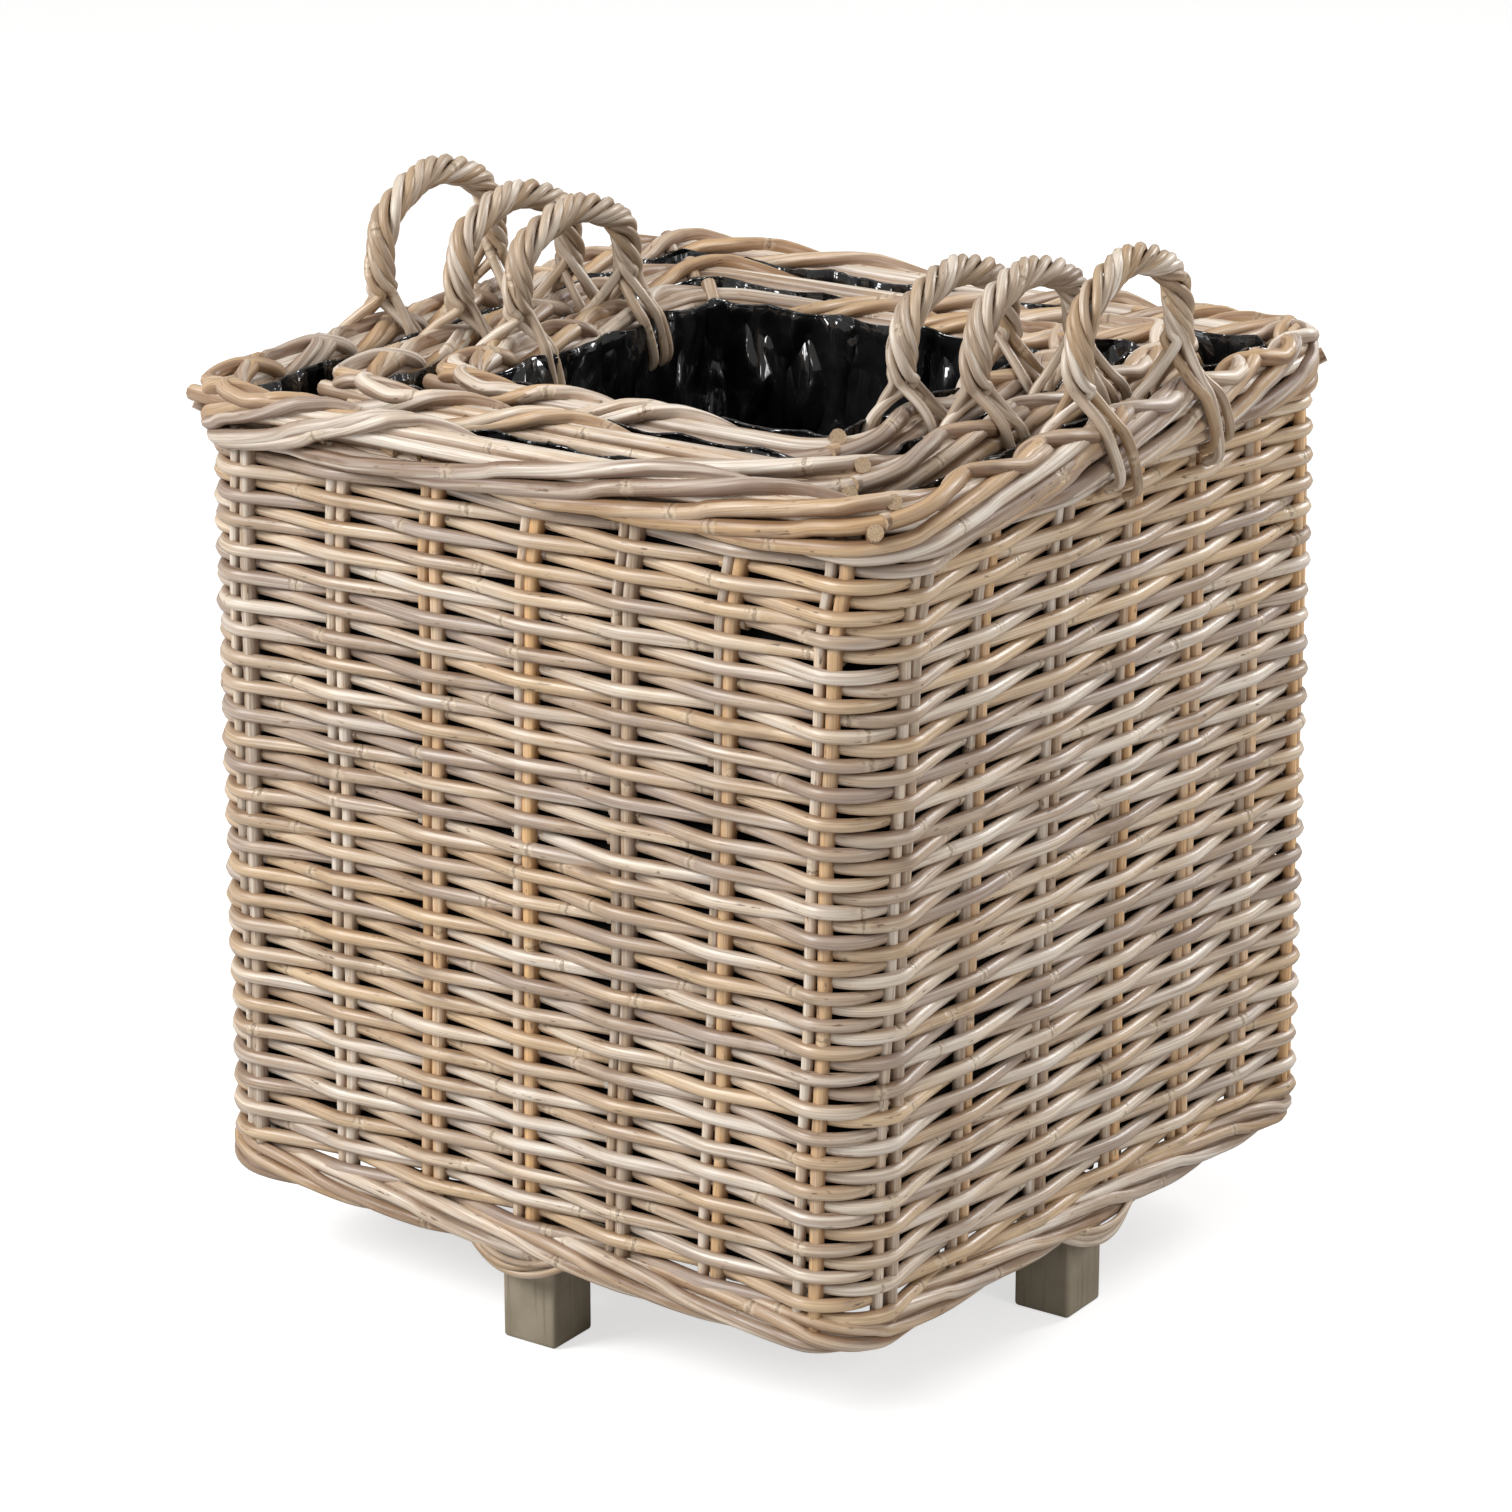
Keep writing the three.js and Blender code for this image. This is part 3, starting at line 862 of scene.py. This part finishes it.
def grid_mesh(name, points, closed, material):
    """A mesh over rows of points, joined into rings where closed."""
    rows, columns = points.shape[:2]
    last = columns if closed else columns - 1
    i, j = np.meshgrid(np.arange(rows - 1), np.arange(last), indexing="ij")
    k = (j + 1) % columns
    quads = grid_quads(i, j, k, columns)
    mesh = bpy.data.meshes.new(name)
    mesh.from_pydata(points.reshape(-1, 3).tolist(), [], quads.tolist())
    mesh.polygons.foreach_set("use_smooth", np.ones(len(mesh.polygons), bool))
    mesh.materials.append(material)
    return mesh


def crumple(s, z, seed):
    """How far the film stands in from the wall: long upright folds, then crinkles across them."""
    lean = 0.35 * noise.noise(Vector((s * 5, z * 4, seed + 30)))
    tall_place = Vector((s * 14 + lean * 4, z * 4.5, seed))
    tall = noise.ridged_multi_fractal(tall_place, 0.9, 2.2, 3, 1.0, 2.0)
    small_place = Vector((s * 44, z * 20, seed + 9))
    small = noise.ridged_multi_fractal(small_place, 1.0, 2.1, 2, 1.0, 2.0)
    slow = noise.noise(Vector((s * 8, z * 7, seed + 20)))
    return 0.0062 * tall + 0.0019 * small + 0.0035 * slow


def liner_wall(basket, floor, top, half, radius):
    """The film's wall, gathered in folds under the rim and rolled over at a scalloped hem."""
    length = ring_length(half, radius)
    columns = int(length / 0.0036)
    s = np.arange(columns) * length / columns
    heights = np.linspace(floor, top, int((top - floor) / 0.0058))
    hem_rows = 5
    base, normals = ring(half, s, radius)
    wall = np.zeros((len(heights) + hem_rows, columns, 3))
    for j in range(columns):
        scallop = 0.0035 * abs(math.sin(s[j] * 41 + 1.3 * math.sin(s[j] * 9)))
        for i, z in enumerate(heights):
            fold = min((z - floor) / 0.02, 1.0) * crumple(s[j], z, basket.seed)
            under_rim = 0.0022 * min(max((z - basket.rim_low + 0.01) / 0.02, 0), 1)
            inward = FILM_INSET + min(max(fold, 0.0), FILM_DEEPEST_FOLD) + under_rim
            rise = scallop * max((z - top + 0.05) / 0.05, 0)
            wall[i, j, :2] = base[j] - normals[j] * inward
            wall[i, j, 2] = z - rise
        for m in range(hem_rows):
            a = math.pi * (m + 1) / hem_rows
            back = inward + 0.0016 * (1 - math.cos(a)) - 0.0032
            last = 0.004 if m == hem_rows - 1 else 0
            wall[len(heights) + m, j, :2] = base[j] - normals[j] * max(back, -0.001)
            wall[len(heights) + m, j, 2] = top - scallop + 0.0026 * math.sin(a) - last
    return twisted(basket, wall)


def liner_back(basket, floor, top, half, radius):
    """The film's plain outer layer, flat against the canes."""
    length = ring_length(half, radius)
    sparse = np.arange(0, length, 0.012)
    outer = half + 0.0006
    skin, _ = ring(outer, sparse * ring_length(outer, radius) / length, radius)
    back = np.zeros((2, len(sparse), 3))
    back[:, :, :2] = skin
    back[0, :, 2] = top
    back[1, :, 2] = floor
    return twisted(basket, back)


def liner_floor(basket, floor, half, radius):
    """The film on the base, with rounded corners and slight crumples."""
    lines = np.linspace(-1, 1, 60)
    reach = half - 0.002
    sheet = np.zeros((60, 60, 3))
    for i, v in enumerate(lines):
        for j, w in enumerate(lines):
            pull = 1 - 0.2929 * radius / reach * (max(abs(v), abs(w)) * min(abs(v), abs(w))) ** 6
            x, y = w * reach * pull, v * reach * pull
            place = Vector((x * 22, y * 22, basket.seed))
            lift = 0.0008 * noise.ridged_multi_fractal(place, 0.9, 2.1, 3, 1, 2)
            sheet[i, j] = (x, y, floor - 0.0010 + min(lift, 0.0018))
    return twisted(basket, sheet)


def liner(basket):
    """The black film: its wall, the wall's outer layer, and its floor."""
    floor, top = basket.film[0].z + FILM_INSET, basket.rim_high - FILM_HEM_DROP
    half = basket.film[1].x - FILM_INSET
    radius = CORNER_RADIUS - WALL_THICKNESS / 2
    back_top = basket.rim_low + 0.006
    wall = grid_mesh("liner_wall", liner_wall(basket, floor, top, half, radius), True, FILM)
    film = place_piece(f"{basket.name}_liner_wall", wall, basket,
                       [f"{basket.name}_liner"])
    # The outer layer wears the film's darker copy, which carries painted shade.
    back = grid_mesh("liner_back", liner_back(basket, floor, back_top, half, radius), True,
                     FILM_BACK)
    backing = place_piece(f"{basket.name}_liner_back", back, basket)
    sheet = grid_mesh("liner_floor", liner_floor(basket, floor, half, radius), False, FILM)
    ground = place_piece(f"{basket.name}_liner_floor", sheet, basket)


# ---- the baskets -------------------------------------------------------------------------------

for basket in BASKETS:
    name = basket.name
    rows = weavers(basket)
    half_way = len(rows) // 2
    lower = [rod for row in rows[:half_way] for rod in row]
    upper = [rod for row in rows[half_way:] for rod in row]
    rim_canes = top_border(basket) + corner_pegs(basket) + corner_stubs(basket)
    add_canes(f"{name}_weavers_lower", lower, [WEAVER_CANE, CUT_END], basket,
              [f"{name}_woven_wall"])
    add_canes(f"{name}_weavers_upper", upper, [WEAVER_CANE, CUT_END], basket)
    add_canes(f"{name}_stakes", stakes(basket), [STAKE_CANE, CUT_END], basket)
    add_canes(f"{name}_rolled_border", rim_canes, [BORDER_CANES, CUT_END], basket,
              [f"{name}_top_border"])
    add_canes(f"{name}_foot_border", bottom_border(basket), [BORDER_CANES, CUT_END], basket,
              [f"{name}_bottom_border"])
    add_canes(f"{name}_foot_bindings", foot_bindings(basket), [ROPE_CANE, CUT_END], basket)
    add_canes(f"{name}_base_weave", base_weave(basket), [BASE_CANE, CUT_END], basket,
              [f"{name}_base_panel"])
    for side in ("left", "right"):
        add_canes(f"{name}_rope_{side}", rope_handle(basket, side), [ROPE_CANE, CUT_END], basket,
                  [f"{name}_handle_{side}"])
    liner(basket)

# ---- the wooden parts keep their solids --------------------------------------------------------

for node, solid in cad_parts.items():
    if "_foot_" in node:
        solid.data.materials.clear()
        solid.data.materials.append(PAINT)
    elif "_base_bar_" in node:
        solid.data.materials.clear()
        solid.data.materials.append(TIMBER)

# ---- studio ------------------------------------------------------------------------------------


def studio_floor():
    """A plain pale floor, bright enough to meet the white background."""
    n = Nodes("studio_floor")
    grain = n.noise(n.position(), 3.0)
    n.shader.inputs["Emission Color"].default_value = (1, 1, 1, 1)
    seen = n.tree.nodes.new("ShaderNodeLightPath").outputs["Is Camera Ray"]
    n.link(n.math("MULTIPLY", seen, 0.65), n.shader.inputs["Emission Strength"])
    n.finish(n.mix(grain, (0.54, 0.54, 0.54, 1), (0.56, 0.56, 0.56, 1)), 0.9)
    mesh = bpy.data.meshes.new("studio_floor")
    size = 30.0
    corners = [(-size, -size, 0), (size, -size, 0), (size, size, 0), (-size, size, 0)]
    mesh.from_pydata(corners, [], [(0, 1, 2, 3)])
    mesh.materials.append(n.material)
    floor = bpy.data.objects.new("studio_floor", mesh)
    bpy.context.scene.collection.objects.link(floor)


def soft_box(name, place, aim, size, watts):
    light = bpy.data.lights.new(name, "AREA")
    light.shape = "SQUARE"
    light.size = size
    light.energy = watts
    lamp = bpy.data.objects.new(name, light)
    lamp.location = place
    lamp.rotation_euler = (Vector(aim) - Vector(place)).to_track_quat("-Z", "Y").to_euler()
    bpy.context.scene.collection.objects.link(lamp)


def studio_world():
    """Even white light from all round, and a pure white background."""
    world = bpy.data.worlds.new("studio")
    bpy.context.scene.world = world
    world.use_nodes = True
    tree = world.node_tree
    path = tree.nodes.new("ShaderNodeLightPath")
    lit = tree.nodes["Background"]
    lit.inputs["Color"].default_value = (1.0, 0.99, 0.97, 1)
    lit.inputs["Strength"].default_value = 0.40
    seen = tree.nodes.new("ShaderNodeBackground")
    seen.inputs["Color"].default_value = (1, 1, 1, 1)
    mix = tree.nodes.new("ShaderNodeMixShader")
    tree.links.new(path.outputs["Is Camera Ray"], mix.inputs[0])
    tree.links.new(lit.outputs[0], mix.inputs[1])
    tree.links.new(seen.outputs[0], mix.inputs[2])
    tree.links.new(mix.outputs[0], tree.nodes["World Output"].inputs[0])


studio_floor()
studio_world()
middle = (0, 0, 0.35)
soft_box("key_left", (-2.4, -3.4, 3.2), middle, 2.0, 222)
soft_box("fill_right", (3.6, -0.6, 2.2), middle, 1.2, 34)
soft_box("back_right", (1.4, 3.6, 2.4), middle, 1.3, 95)
soft_box("top", (0, 0, 3.6), middle, 1.6, 18)

camera_data = bpy.data.cameras.new("camera")
camera_data.sensor_width = 36
camera_data.lens = 122.5
camera = bpy.data.objects.new("camera", camera_data)
camera.location = (1.9645, -2.9132, 1.5367)
aim = Vector((-0.0074, -0.0059, 0.3611))
camera.rotation_euler = (aim - camera.location).to_track_quat("-Z", "Y").to_euler()
bpy.context.scene.collection.objects.link(camera)
bpy.context.scene.camera = camera
bpy.context.scene.view_settings.view_transform = "Standard"

bpy.context.view_layer.update()
